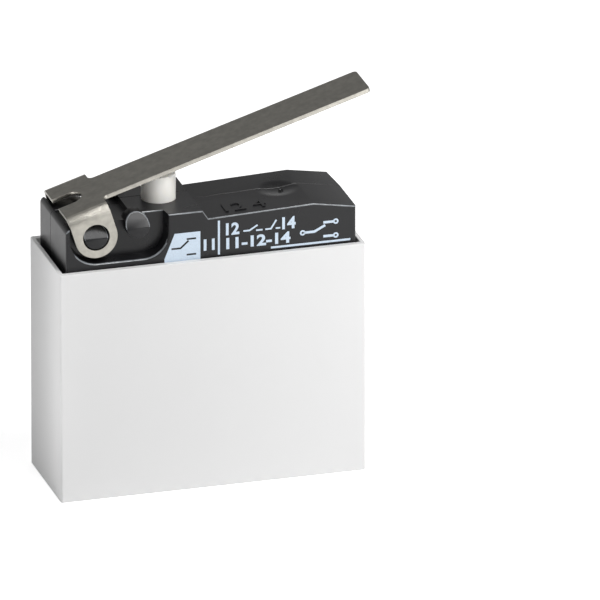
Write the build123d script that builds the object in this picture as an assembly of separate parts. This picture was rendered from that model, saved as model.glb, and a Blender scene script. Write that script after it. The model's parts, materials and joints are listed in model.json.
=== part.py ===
from build123d import *
import os
from math import asin, atan, cos, degrees, radians, sin, tan

# Auxiliary contact block: a subminiature snap-action changeover switch with a hinged lever,
# seated in a light sleeve that shrouds its three terminals. Sizes are in millimetres.
# Frame: origin at the centre of the sleeve's open bottom, +X towards the lever's free tip,
# +Y towards the back, +Z up.

# Sleeve
sleeve_height = 16.1
sleeve_side_wall = 0.45
sleeve_end_wall = 0.3
sleeve_side_gap = 0.05
sleeve_end_gap = 0.25
sleeve_corner_radius = 0.15
seat_rib_width = 1.1
seat_rib_overlap = 0.8
seat_rib_inset = 0.9
seat_rib_bottom = 1.5
lug_radius = 1.0
lug_height = 0.4
lug_chamfer = 0.15

# Switch body, seen from the front
body_length = 19.8
body_width = 6.4
case_depth = 3.8
platform_rise = 3.33
left_top_drop = 0.38
valley_drop = 0.58
crest_drop = 0.31
right_top_drop = 0.79
platform_from_left = 4.7
platform_past_plunger = 2.12
valley_from_platform = 0.38
crest_from_right = 2.9
body_edge_radius = 0.12
left_top_radius = 0.35
cover_end_draft = 0.18
gate_dimple_from_right = 4.4
gate_dimple_y = 0.2
gate_dimple_radius = 1.25
gate_dimple_floor_radius = 0.45
gate_dimple_depth = 0.12

# Recess for the lever's ears, the same at the front and the back
recess_left_wall = 0.25
recess_depth = 0.93
recess_left_radius = 1.9
recess_right_radius = 1.7
recess_before_plunger = 0.2
recess_draft = 8.0

# Bosses in the recess: the left one carries the lever, the right one is its spare place
pivot_drop = 1.13
ear_end_gap = 0.4
ear_bottom_gap = 0.4
spare_boss_pitch = 2.85
spare_boss_rise = 0.46
boss_radius = 0.82
boss_inset = 0.08
boss_flat_drop = 0.1
boss_ramp_angle = 38.0

# Walls and joints of the body
left_wall = 1.15
right_wall = 1.25
side_wall = 0.8
floor_wall = 1.0
ceiling_wall = 0.9
neck_wall = 0.62
neck_cavity_drop = 0.85
hole_pitch = 9.5
hole_rise = 2.9
hole_radius = 1.15
hole_boss_wall = 0.55
pin_radius = 0.35
pin_length = 1.6
pin_clearance = 0.03

# Lever, one folded steel sheet
lever_angle = 17.2
sheet = 0.3
lever_top_offset = 1.92
lever_tip_reach = 20.6
lever_strip_width = 3.3
lever_inset = 0.1
lever_bend_radius = 0.7
ear_radius = 1.45
ear_hole_clearance = 0.08
lever_slot_width = 1.65
lever_slot_length = 1.85
lever_neck_radius = 0.35
lever_tip_radius = 0.3

# Plunger
plunger_pitch = 5.1
plunger_radius = 1.15
plunger_clearance = 0.04
plunger_dome_radius = 3.6
plunger_flange_radius = 1.5
plunger_flange_height = 0.45
plunger_foot_radius = 0.7
plunger_foot_tip_radius = 0.25
plunger_foot_taper = 0.4

# Terminals, stamped brass
terminal_thickness = 0.5
terminal_width = 2.8
terminal_length = 6.0
terminal_tip_chamfer = 0.5
terminal_eye_radius = 0.65
terminal_eye_from_tip = 1.6
terminal_bend_radius = 0.3
common_from_left = 1.8
make_pitch = 8.8
break_from_right = 1.8
slot_clearance = 0.02
shoulder_width = 3.8
shoulder_height = 0.8
leaf_top_gap = 0.4
leaf_bottom_gap = 0.08

# Contact arm and contacts
mechanism_side_gap = 0.15
arm_thickness = 0.25
arm_window_width = 1.9
arm_past_contact = 1.0
arm_notch_depth = 0.15
arm_notch_clearance = 0.12
contact_before_break = 1.5
contact_radius = 0.9
contact_head = 0.4
contact_shank_radius = 0.45
contact_gap = 0.5
contact_tail = 0.12
contact_tail_radius = 0.65

# Rocker that the plunger presses, and the spring that throws the contact arm over
rocker_rise = 0.8
rocker_thickness = 0.3
rocker_width = 1.4
rocker_past_plunger = 1.2
rocker_head_width = 2.2
rocker_window_width = 1.7
rocker_window_height = 0.9
tab_clearance = 0.03
tab_edge = 0.12
tab_hole_half = 0.16
spring_wire = 0.2
spring_radius = 0.5
spring_pitch = 0.62
spring_length = 4.7
spring_tail = 0.12
spring_turns = 5

# Gap between pieces that just touch, and how far a cutting shape stands past what it cuts
touch_gap = 0.015
past = 1.0

# Places along the body
left_x = -body_length / 2
right_x = body_length / 2
recess_left_x = left_x + recess_left_wall
pivot_x = recess_left_x + ear_end_gap + ear_radius
spare_boss_x = pivot_x + spare_boss_pitch
plunger_x = pivot_x + plunger_pitch
recess_right_x = plunger_x - recess_before_plunger
platform_left_x = left_x + platform_from_left
platform_right_x = plunger_x + platform_past_plunger
valley_x = platform_right_x + valley_from_platform
crest_x = right_x - crest_from_right
gate_dimple_x = right_x - gate_dimple_from_right
cavity_left_x = left_x + left_wall
cavity_right_x = right_x - right_wall
common_x = left_x + common_from_left
make_x = common_x + make_pitch
break_x = right_x - break_from_right
contact_x = break_x - contact_before_break
notch_x = common_x + terminal_thickness / 2 - arm_notch_depth
arm_pivot_x = notch_x + touch_gap + arm_thickness / 2
rocker_pivot_x = common_x - terminal_thickness / 2 - touch_gap - rocker_thickness / 2
rocker_end_x = plunger_x + rocker_past_plunger
arm_tab_x = rocker_end_x + spring_length

# Places across the body
front_y = -body_width / 2
back_y = body_width / 2
parting_y = front_y + case_depth
neck_half = body_width / 2 - recess_depth
neck_inner = neck_half - neck_wall
mechanism_width = 2 * (neck_inner - mechanism_side_gap)
lever_outer_width = body_width - 2 * lever_inset
sleeve_inner_width = body_width + 2 * sleeve_side_gap
sleeve_width = sleeve_inner_width + 2 * sleeve_side_wall
sleeve_inner_length = body_length + 2 * sleeve_end_gap
sleeve_length = sleeve_inner_length + 2 * sleeve_end_wall

# Heights, from the sleeve's rim up to the platform and down through the mechanism
platform_z = sleeve_height + platform_rise
left_top_z = platform_z - left_top_drop
valley_z = platform_z - valley_drop
crest_z = platform_z - crest_drop
right_top_z = platform_z - right_top_drop
pivot_z = platform_z - pivot_drop
spare_boss_z = pivot_z + spare_boss_rise
recess_floor_z = pivot_z - ear_radius - ear_bottom_gap
neck_cavity_z = recess_floor_z - neck_cavity_drop
ceiling_z = valley_z - ceiling_wall
flange_bottom_z = ceiling_z - touch_gap - plunger_flange_height
contact_stack = arm_thickness / 2 + contact_head
contact_half_gap = contact_gap / 2 + touch_gap
break_leaf_top = ceiling_z - leaf_top_gap
break_face_z = break_leaf_top - terminal_thickness - contact_head
arm_z = break_face_z - contact_half_gap - contact_stack
make_face_z = arm_z - contact_half_gap - contact_stack
make_leaf_top = make_face_z - contact_head
hole_boss_radius = hole_radius + hole_boss_wall
hole_z = make_leaf_top - terminal_thickness - leaf_bottom_gap - hole_boss_radius
body_bottom_z = hole_z - hole_rise
cavity_floor_z = body_bottom_z + floor_wall
terminal_tip_z = body_bottom_z - terminal_length
rocker_z = arm_z + rocker_rise
rocker_top_z = rocker_z + rocker_thickness / 2
arm_swing = degrees(asin(contact_gap / (contact_x - arm_pivot_x)))


def across(outline, low_y, high_y):
    """A shape drawn in X and Z, made solid from low_y to high_y."""
    return extrude(Plane.XZ.offset(-high_y) * outline, amount=high_y - low_y)


def upright(outline, low_z, high_z):
    """A shape drawn in X and Y, made solid from low_z to high_z."""
    return extrude(Plane.XY.offset(low_z) * outline, amount=high_z - low_z)


def block(low_x, high_x, low_y, high_y, low_z, high_z):
    """A plain block between two corners."""
    centre = Vector((low_x + high_x) / 2, (low_y + high_y) / 2, (low_z + high_z) / 2)
    return Location(centre) * Box(high_x - low_x, high_y - low_y, high_z - low_z)


def rod_across(x, z, radius, low_y, high_y):
    """A round rod along Y."""
    return across(Location((x, z)) * Circle(radius), low_y, high_y)


def rod_up(x, y, radius, low_z, high_z):
    """A round rod along Z."""
    return upright(Location((x, y)) * Circle(radius), low_z, high_z)


def outline_of(*points):
    """A closed outline through the points."""
    return make_face(Polyline(*points, close=True))


def terminal_sleeve():
    """Light moulded sleeve, open at the top and the bottom, that the switch drops into."""
    outer = RectangleRounded(sleeve_length, sleeve_width, sleeve_corner_radius)
    inner = Rectangle(sleeve_inner_length, sleeve_inner_width)
    sleeve = upright(outer - inner, 0, sleeve_height)
    rib_y = sleeve_inner_width / 2 - seat_rib_inset - seat_rib_width / 2
    rib_root = sleeve_end_wall / 2
    rib_length = rib_root + sleeve_end_gap + seat_rib_overlap
    rib_x = sleeve_inner_length / 2 + rib_root - rib_length / 2
    for end in (-1, 1):
        for side in (-1, 1):
            rib = Location((end * rib_x, side * rib_y)) * Rectangle(rib_length, seat_rib_width)
            sleeve += upright(rib, seat_rib_bottom, body_bottom_z)
    lug_tip_y = sleeve_inner_width / 2 - lug_height
    lug_root_y = sleeve_inner_width / 2 + sleeve_side_wall / 2
    for hole in (-1, 1):
        lug = rod_across(hole * hole_pitch / 2, hole_z, lug_radius, lug_tip_y, lug_root_y)
        lug = chamfer(lug.edges().group_by(Axis.Y)[0], lug_chamfer)
        sleeve += lug
        sleeve += mirror(lug, Plane.XZ)
    return sleeve


def body_outline():
    """The switch body from the front, with its stepped and sloping top."""
    outline = outline_of(
        (left_x, body_bottom_z),
        (right_x, body_bottom_z),
        (right_x, right_top_z),
        (crest_x, crest_z),
        (valley_x, valley_z),
        (platform_right_x, platform_z),
        (platform_left_x, platform_z),
        (platform_left_x, left_top_z),
        (left_x, left_top_z),
    )
    corner = outline.vertices().sort_by_distance(Vector(left_x, left_top_z, 0))[0]
    return fillet(corner, left_top_radius)


def ear_recess():
    """Space for a lever ear, cut from the front face with drafted sides."""
    above = platform_z + past
    corners = outline_of(
        (recess_left_x, recess_floor_z),
        (recess_right_x, recess_floor_z),
        (recess_right_x, above),
        (recess_left_x, above),
    )
    bottom_left = corners.vertices().sort_by_distance(Vector(recess_left_x, recess_floor_z, 0))[0]
    corners = fillet(bottom_left, recess_left_radius)
    bottom_right = corners.vertices().sort_by_distance(Vector(recess_right_x, recess_floor_z, 0))[0]
    corners = fillet(bottom_right, recess_right_radius)
    mouth = Plane.XZ.offset(-front_y) * corners
    return extrude(mouth, amount=-recess_depth, taper=recess_draft)


def lever_boss(x, z):
    """Stub in the recess with a lead-in ramp over its upper half, at the front."""
    end_y = front_y + boss_inset
    stub = rod_across(x, z, boss_radius, end_y, -neck_inner)
    flat_z = z - boss_flat_drop
    ramp_rise = 3 * boss_radius
    ramp_depth = ramp_rise * tan(radians(boss_ramp_angle))
    wedge_side = outline_of(
        (end_y, flat_z),
        (end_y + ramp_depth, flat_z + ramp_rise),
        (end_y - past, flat_z + ramp_rise),
        (end_y - past, flat_z),
    )
    wedge = extrude(Plane.YZ.offset(x - 2 * boss_radius) * wedge_side, amount=4 * boss_radius)
    return stub - wedge


def body_cavity():
    """Room for the mechanism inside the two body halves."""
    low_y = front_y + side_wall
    high_y = back_y - side_wall
    neck_right_x = recess_right_x + neck_wall
    lower = block(cavity_left_x, neck_right_x, low_y, high_y, cavity_floor_z, neck_cavity_z)
    upper = block(neck_right_x, cavity_right_x, low_y, high_y, cavity_floor_z, ceiling_z)
    neck = block(cavity_left_x, neck_right_x, -neck_inner, neck_inner, neck_cavity_z, ceiling_z)
    room = lower + upper + neck
    for side in (-1, 1):
        room -= rod_across(side * hole_pitch / 2, hole_z, hole_boss_radius, front_y, back_y)
    return room


def terminal_slots():
    """Slots in the floor of the body for the three terminals and their shoulders."""
    half_x = terminal_thickness / 2 + slot_clearance
    half_y = mechanism_width / 2 + slot_clearance
    cuts = []
    for x in (common_x, make_x, break_x):
        cuts.append(block(x - half_x, x + half_x, -half_y, half_y, body_bottom_z - past, cavity_floor_z + past))
    return cuts


def gate_dimple():
    """Shallow dish in the top face, square to its slope, where the moulding was filled."""
    slope = (crest_z - valley_z) / (crest_x - valley_x)
    top_z = valley_z + slope * (gate_dimple_x - valley_x)
    dish = Cone(gate_dimple_floor_radius, gate_dimple_radius, gate_dimple_depth)
    dish += Pos(0, 0, gate_dimple_depth) * Cylinder(gate_dimple_radius, gate_dimple_depth)
    tilt = -degrees(atan(slope))
    place = Location((gate_dimple_x, gate_dimple_y, top_z), (0, tilt, 0))
    return place * Pos(0, 0, -gate_dimple_depth / 2) * dish


def switch_body():
    """Both halves of the body in one piece, before they are parted."""
    body = across(body_outline(), front_y, back_y)
    rims = body.edges().group_by(Axis.Y)[0] + body.edges().group_by(Axis.Y)[-1]
    body = fillet(rims, body_edge_radius)
    recess = ear_recess()
    body -= recess
    body -= mirror(recess, Plane.XZ)
    for x, z in ((pivot_x, pivot_z), (spare_boss_x, spare_boss_z)):
        boss = lever_boss(x, z)
        body += boss
        body += mirror(boss, Plane.XZ)
    body -= body_cavity()
    body -= terminal_slots()
    for side in (-1, 1):
        body -= rod_across(side * hole_pitch / 2, hole_z, hole_radius, front_y - past, back_y + past)
    guide_radius = plunger_radius + plunger_clearance
    body -= rod_up(plunger_x, 0, guide_radius, ceiling_z - past, platform_z + past)
    return body - gate_dimple()


def joining_pins():
    """Places of the pins that join the cover to the case."""
    left_pin_x = left_x + left_wall / 2
    right_pin_x = right_x - right_wall / 2
    low_z = cavity_floor_z
    high_z = ceiling_z - floor_wall / 2
    return [(x, z) for x in (left_pin_x, right_pin_x) for z in (low_z, high_z)]


def switch_case(body):
    """Front half of the body, which holds the mechanism."""
    case = split(body, Plane.XZ.offset(-parting_y), keep=Keep.TOP)
    for x, z in joining_pins():
        hole_end = parting_y - pin_length - pin_clearance
        case -= rod_across(x, z, pin_radius + pin_clearance, hole_end, parting_y + past)
    return case


def switch_cover(body):
    """Back half of the body, with pins into the case and a drafted right end."""
    cover = split(body, Plane.XZ.offset(-parting_y), keep=Keep.BOTTOM)
    draft = outline_of(
        (right_x, parting_y),
        (right_x - cover_end_draft, back_y),
        (right_x + past, back_y),
        (right_x + past, parting_y),
    )
    cover -= upright(draft, body_bottom_z - past, platform_z + past)
    for x, z in joining_pins():
        cover += rod_across(x, z, pin_radius, parting_y - pin_length, parting_y + pin_radius)
    return cover


def lever_sheet_flat():
    """The lever with its strip level and its pivot at the origin."""
    drop = 2 * ear_radius
    height = lever_top_offset + drop
    middle = lever_top_offset - height / 2
    outer = Rectangle(lever_outer_width, height)
    outer = fillet(outer.vertices().group_by(Axis.Y)[-1], lever_bend_radius)
    inner_width = lever_outer_width - 2 * sheet
    inner = Rectangle(inner_width, height)
    inner = fillet(inner.vertices().group_by(Axis.Y)[-1], lever_bend_radius - sheet)
    channel = Pos(0, middle) * (outer - Pos(0, -sheet) * inner)
    folded = extrude(Plane.YZ.offset(-ear_radius) * channel, amount=2 * ear_radius)
    ear_side = Circle(ear_radius)
    ear_side += Pos(0, lever_top_offset / 2) * Rectangle(2 * ear_radius, lever_top_offset)
    folded = folded & across(ear_side, -lever_outer_width, lever_outer_width)
    strip_bottom = lever_top_offset - sheet
    half_strip = lever_strip_width / 2
    strip = block(0, lever_tip_reach, -half_strip, half_strip, strip_bottom, lever_top_offset)
    lever = folded + strip
    corners = lever.edges().filter_by(Axis.Z)
    neck = [edge for edge in corners if abs(edge.center().X - ear_radius) < 0.01]
    neck = [edge for edge in neck if abs(abs(edge.center().Y) - half_strip) < 0.01]
    lever = fillet(neck, lever_neck_radius)
    corners = lever.edges().filter_by(Axis.Z)
    tip = [edge for edge in corners if abs(edge.center().X - lever_tip_reach) < 0.01]
    lever = fillet(tip, lever_tip_radius)
    slot_end = lever_slot_length - ear_radius
    slot_round = slot_end - lever_slot_width / 2
    slot = Pos(slot_round, 0) * Circle(lever_slot_width / 2)
    slot_straight = slot_round + 2 * ear_radius
    slot += Pos(slot_round - slot_straight / 2, 0) * Rectangle(slot_straight, lever_slot_width)
    lever -= upright(slot, strip_bottom - past, lever_top_offset + past)
    ear_hole_radius = boss_radius + ear_hole_clearance
    lever -= rod_across(0, 0, ear_hole_radius, -lever_outer_width, lever_outer_width)
    return lever


def actuating_lever():
    """The lever in its free position, hung on the left bosses."""
    return Pos(pivot_x, 0, pivot_z) * Rot(0, -lever_angle, 0) * lever_sheet_flat()


def plunger_dome_centre():
    """Height of the centre of the plunger's dome, which touches the lever's underside."""
    reach = plunger_x - pivot_x
    angle = radians(lever_angle)
    under = lever_top_offset - sheet
    rise = (under - plunger_dome_radius - touch_gap + reach * sin(angle)) / cos(angle)
    return pivot_z + rise


def plunger():
    """Round push pin with a domed top, a stop flange under the ceiling and a foot."""
    dome_z = plunger_dome_centre()
    stem = rod_up(plunger_x, 0, plunger_radius, flange_bottom_z, dome_z + plunger_dome_radius)
    stem = stem & Pos(plunger_x, 0, dome_z) * Sphere(plunger_dome_radius)
    flange_top = ceiling_z - touch_gap
    flange = rod_up(plunger_x, 0, plunger_flange_radius, flange_bottom_z, flange_top)
    foot_z = rocker_top_z + touch_gap
    taper_top = foot_z + plunger_foot_taper
    taper = Cone(plunger_foot_tip_radius, plunger_foot_radius, plunger_foot_taper)
    foot = rod_up(plunger_x, 0, plunger_foot_radius, taper_top, flange_top)
    foot += Pos(plunger_x, 0, (foot_z + taper_top) / 2) * taper
    return stem + flange + foot


def terminal_blade(x, top_z):
    """Flat terminal through the floor of the body, with a chamfered tip and a wire eye."""
    half = terminal_width / 2
    cut = terminal_tip_chamfer
    tab = outline_of(
        (-half + cut, terminal_tip_z),
        (half - cut, terminal_tip_z),
        (half, terminal_tip_z + cut),
        (half, body_bottom_z),
        (-half, body_bottom_z),
        (-half, terminal_tip_z + cut),
    )
    tab -= Pos(0, terminal_tip_z + terminal_eye_from_tip) * Circle(terminal_eye_radius)
    stem_height = top_z - body_bottom_z
    tab += Pos(0, body_bottom_z + stem_height / 2) * Rectangle(mechanism_width, stem_height)
    shoulder_z = cavity_floor_z + touch_gap + shoulder_height / 2
    tab += Pos(0, shoulder_z) * Rectangle(shoulder_width, shoulder_height)
    return extrude(Plane.YZ.offset(x - terminal_thickness / 2) * tab, amount=terminal_thickness)


def common_terminal():
    """Left terminal: its head holds the contact arm's fork and the rocker's hook."""
    low_z = rocker_z - rocker_window_height / 2
    high_z = rocker_z + rocker_window_height / 2
    terminal = terminal_blade(common_x, high_z + terminal_thickness)
    window_half = rocker_window_width / 2
    low_x = common_x - terminal_thickness
    high_x = common_x + terminal_thickness
    terminal -= block(low_x, high_x, -window_half, window_half, low_z, high_z)
    notch_half = arm_thickness / 2 + arm_notch_clearance
    notch_inner = arm_window_width / 2 - arm_notch_clearance
    notch = block(notch_x, high_x, notch_inner, mechanism_width, arm_z - notch_half, arm_z + notch_half)
    return terminal - notch - mirror(notch, Plane.XZ)


def hooked_terminal(x, leaf_top, reach):
    """Terminal whose upper end turns level and runs past the contacts to carry a fixed one."""
    towards = 1 if contact_x > x else -1
    near_x = x - towards * terminal_thickness / 2
    far_x = contact_x + towards * reach
    half = mechanism_width / 2
    leaf_bottom = leaf_top - terminal_thickness
    terminal = terminal_blade(x, leaf_top)
    terminal += block(min(near_x, far_x), max(near_x, far_x), -half, half, leaf_bottom, leaf_top)
    bend = terminal.edges().filter_by(Axis.Y).group_by(Axis.Z)[-1]
    bend = bend.sort_by(Axis.X)[0 if towards == 1 else -1]
    terminal = fillet(bend, terminal_bend_radius + terminal_thickness / 2)
    return terminal - rod_up(contact_x, 0, contact_shank_radius, leaf_bottom - past, leaf_top + past)


def make_terminal():
    """Middle terminal, under the moving contact."""
    return hooked_terminal(make_x, make_leaf_top, contact_radius)


def break_terminal():
    """Right terminal, over the moving contact."""
    return hooked_terminal(break_x, break_leaf_top, contact_radius)


def make_contact():
    """Fixed silver contact riveted to the middle terminal."""
    leaf_bottom = make_leaf_top - terminal_thickness
    rivet = rod_up(contact_x, 0, contact_radius, make_leaf_top, make_face_z)
    return rivet + rod_up(contact_x, 0, contact_shank_radius, leaf_bottom, make_leaf_top)


def break_contact():
    """Fixed silver contact riveted to the right terminal, with a closed head above it."""
    leaf_bottom = break_leaf_top - terminal_thickness
    tail_top = break_leaf_top + contact_tail
    rivet = rod_up(contact_x, 0, contact_radius, break_face_z, leaf_bottom)
    rivet += rod_up(contact_x, 0, contact_shank_radius, leaf_bottom, break_leaf_top)
    return rivet + rod_up(contact_x, 0, contact_tail_radius, break_leaf_top, tail_top)


def raised_arm(piece):
    """A piece of the contact arm turned up to the upper contact."""
    pivot = Axis((arm_pivot_x, 0, arm_z), (0, 1, 0))
    return piece.rotate(pivot, -arm_swing / 2)


def contact_arm():
    """Forked spring-bronze arm whose two round-ended prongs bear in the common terminal."""
    half = mechanism_width / 2
    half_thick = arm_thickness / 2
    window = arm_window_width / 2
    right_end = contact_x + arm_past_contact
    arm = block(arm_pivot_x, right_end, -half, half, arm_z - half_thick, arm_z + half_thick)
    arm += rod_across(arm_pivot_x, arm_z, half_thick, -half, half)
    arm -= block(notch_x - past, arm_tab_x, -window, window, arm_z - past, arm_z + past)
    tab_top = arm_z + spring_radius + tab_hole_half + tab_edge
    tab_half = rocker_width / 2
    arm += block(arm_tab_x, arm_tab_x + arm_thickness, -tab_half, tab_half, arm_z, tab_top)
    arm -= rod_up(contact_x, 0, contact_shank_radius, arm_z - past, arm_z + past)
    return raised_arm(arm) - spring_holes()


def moving_contact():
    """Silver contact with a face on each side of the arm."""
    half = arm_thickness / 2
    rivet = rod_up(contact_x, 0, contact_radius, arm_z + half, arm_z + contact_stack)
    rivet += rod_up(contact_x, 0, contact_radius, arm_z - contact_stack, arm_z - half)
    rivet += rod_up(contact_x, 0, contact_shank_radius, arm_z - half, arm_z + half)
    return raised_arm(rivet)


def rocker():
    """Flat rocker with a round cross-head behind the common terminal and a turned-up tab."""
    half = rocker_width / 2
    bottom_z = rocker_z - rocker_thickness / 2
    plate = block(rocker_pivot_x, rocker_end_x, -half, half, bottom_z, rocker_top_z)
    head_half = rocker_head_width / 2
    plate += rod_across(rocker_pivot_x, rocker_z, rocker_thickness / 2, -head_half, head_half)
    tab_top = flange_bottom_z - tab_clearance
    plate += block(rocker_end_x - rocker_thickness, rocker_end_x, -half, half, bottom_z, tab_top)
    return plate - spring_holes()


def spring_ends():
    """The spring's axis where it leaves the rocker's tab and where it meets the arm's."""
    lift = sin(radians(arm_swing / 2)) * (arm_tab_x - arm_pivot_x)
    return Vector(rocker_end_x, 0, rocker_z), Vector(arm_tab_x, 0, arm_z + lift)


def spring_plane():
    """Plane across the spring at its rocker end, with its X axis pointing up."""
    start, end = spring_ends()
    along = (end - start).normalized()
    return Plane(origin=start, x_dir=Vector(0, 1, 0).cross(along) * -1, z_dir=along)


def spring_holes():
    """Square holes punched in the two tabs for the spring's tails."""
    start, end = spring_ends()
    length = (end - start).length
    drill = Box(2 * tab_hole_half, 2 * tab_hole_half, 2 * length)
    return Location(spring_plane()) * Pos(spring_radius, 0, length / 2) * drill


def snap_spring():
    """Tension spring of six-sided wire section from the rocker's end to the contact arm."""
    start, end = spring_ends()
    length = (end - start).length
    coil_length = spring_turns * spring_pitch
    coil_start = (length - coil_length) / 2
    coil_end = coil_start + coil_length
    path = Pos(0, 0, coil_start) * Helix(spring_pitch, coil_length, spring_radius)
    wire = RegularPolygon(spring_wire / 2, 6)
    coil = sweep(Plane(origin=path @ 0, z_dir=path % 0) * wire, path=path, is_frenet=True)
    rocker_side = -rocker_thickness - spring_tail
    arm_side = length + arm_thickness + spring_tail
    joint = spring_wire / 2
    for low, high in ((rocker_side, coil_start + joint), (coil_end - joint, arm_side)):
        coil += Pos(spring_radius, 0, low) * extrude(wire, amount=high - low)
    return Location(spring_plane()) * coil


body = switch_body()
pieces = {
    "terminal_sleeve": terminal_sleeve(),
    "switch_case": switch_case(body),
    "switch_cover": switch_cover(body),
    "plunger": plunger(),
    "actuating_lever": actuating_lever(),
    "common_terminal": common_terminal(),
    "make_terminal": make_terminal(),
    "break_terminal": break_terminal(),
    "make_contact": make_contact(),
    "break_contact": break_contact(),
    "contact_arm": contact_arm(),
    "moving_contact": moving_contact(),
    "rocker": rocker(),
    "snap_spring": snap_spring(),
}

os.makedirs("parts", exist_ok=True)
for name, piece in pieces.items():
    export_step(piece, "parts/" + name + ".step")
    print(name, len(piece.solids()), round(piece.volume, 3))
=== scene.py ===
"""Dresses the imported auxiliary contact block.

It rounds the mouldings and the folded lever, prints the front, gives every piece its finish, and
sets the stage and the camera."""

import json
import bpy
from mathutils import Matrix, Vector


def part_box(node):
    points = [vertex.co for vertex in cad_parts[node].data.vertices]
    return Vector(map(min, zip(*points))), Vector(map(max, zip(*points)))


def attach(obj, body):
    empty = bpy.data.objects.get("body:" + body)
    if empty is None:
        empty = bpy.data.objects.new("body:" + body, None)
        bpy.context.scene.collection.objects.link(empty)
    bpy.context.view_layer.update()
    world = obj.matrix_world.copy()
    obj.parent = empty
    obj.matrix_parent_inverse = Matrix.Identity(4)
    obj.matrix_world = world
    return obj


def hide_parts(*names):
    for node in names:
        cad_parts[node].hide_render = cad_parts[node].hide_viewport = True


bl_info = {
    "name": "Auxiliary Contact Block",
    "version": (1, 0, 0),
    "blender": (4, 5, 0),
    "location": "3D View > Sidebar > Contact Block",
    "description": "Builds the looks of an auxiliary contact block around its packed frame",
    "category": "Object",
}

from math import atan2, cos, pi, radians, sin

import bmesh
import bpy
from bpy.props import FloatProperty, FloatVectorProperty, PointerProperty, StringProperty
from mathutils import Vector

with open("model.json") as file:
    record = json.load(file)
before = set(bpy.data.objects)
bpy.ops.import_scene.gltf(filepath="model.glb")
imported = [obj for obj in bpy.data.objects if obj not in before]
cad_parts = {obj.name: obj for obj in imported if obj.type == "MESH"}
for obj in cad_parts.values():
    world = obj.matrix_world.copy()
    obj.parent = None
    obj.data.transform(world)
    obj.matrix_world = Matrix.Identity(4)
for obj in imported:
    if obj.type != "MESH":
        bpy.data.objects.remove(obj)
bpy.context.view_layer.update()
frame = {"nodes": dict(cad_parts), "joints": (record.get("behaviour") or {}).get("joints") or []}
nodes = frame["nodes"]

MM = 0.001
SHARP_ANGLE = radians(28)
SMOOTH_ANGLE = radians(40)
MERGE_DISTANCE = 0.001 * MM
NEAR = 0.02 * MM
FLAT_ANGLE = radians(0.8)
PRINT_ROOT = 0.004 * MM
FACING = 0.9
# Finishes of the body: grained nylon, and a lighter grey painted on upward edges as a highlight
GRAINED = 0
PAINTED_HIGHLIGHT = 1

# Places and sizes that the pieces share, read from the frame or repeated from the solids
sleeve_low, sleeve_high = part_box("terminal_sleeve")
case_low, case_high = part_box("switch_case")
cover_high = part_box("switch_cover")[1]
plunger_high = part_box("plunger")[1]
lever_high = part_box("actuating_lever")[1]
rim_z = sleeve_high.z
front_y = case_low.y
lever_joint = [joint for joint in frame["joints"] if joint["name"] == "lever_pivot"][0]
pivot = Vector(lever_joint["pos_m"])
fold_y = lever_high.y - 0.7 * MM
parting_y = case_high.y
recess_floor_y = 2.27 * MM
boss_radius = 0.83 * MM
spare_boss = pivot + Vector((2.85, 0, 0.46)) * MM
gate = Vector((case_high.x - 4.4 * MM, 0.2 * MM, case_high.z - 1.5 * MM))
gate_radius = 1.25 * MM


class ContactBlockSizes(bpy.types.PropertyGroup):
    """Roundings, and the sizes of the print and of the moulded numbers."""

    sleeve_rounding: FloatProperty(
        name="Sleeve rounding",
        description="Radius along the rims of the light sleeve",
        default=0.06 * MM,
        unit="LENGTH",
    )
    lip_rounding: FloatProperty(
        name="Recess lip rounding",
        description="Radius where the flat front meets the top and the recess for the lever's ear",
        default=0.13 * MM,
        unit="LENGTH",
    )
    boss_rounding: FloatProperty(
        name="Boss rounding",
        description="Radius around the ends of the bosses and along the top of the recess floor",
        default=0.06 * MM,
        unit="LENGTH",
    )
    parting_bevel: FloatProperty(
        name="Parting line bevel",
        description="Width of the bevel on either side of the parting line, which makes its groove",
        default=0.035 * MM,
        unit="LENGTH",
    )
    dish_rounding: FloatProperty(
        name="Dish rounding",
        description="Radius where the dish of the gate mark begins",
        default=0.2 * MM,
        unit="LENGTH",
    )
    lever_rounding: FloatProperty(
        name="Lever rounding",
        description="Radius along the tumbled edges of the steel sheet",
        default=0.035 * MM,
        unit="LENGTH",
    )
    plunger_rounding: FloatProperty(
        name="Push pin rounding",
        description="Radius around the rim of the push pin's dome",
        default=0.06 * MM,
        unit="LENGTH",
    )
    print_thickness: FloatProperty(
        name="Print thickness",
        description="Height of the printing ink over the front face",
        default=0.012 * MM,
        unit="LENGTH",
    )
    stroke_width: FloatProperty(
        name="Stroke width",
        description="Width of the printed lines",
        default=0.13 * MM,
        unit="LENGTH",
    )
    number_relief: FloatProperty(
        name="Number relief",
        description="Height of the moulded numbers over the top face",
        default=0.07 * MM,
        unit="LENGTH",
    )


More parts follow.
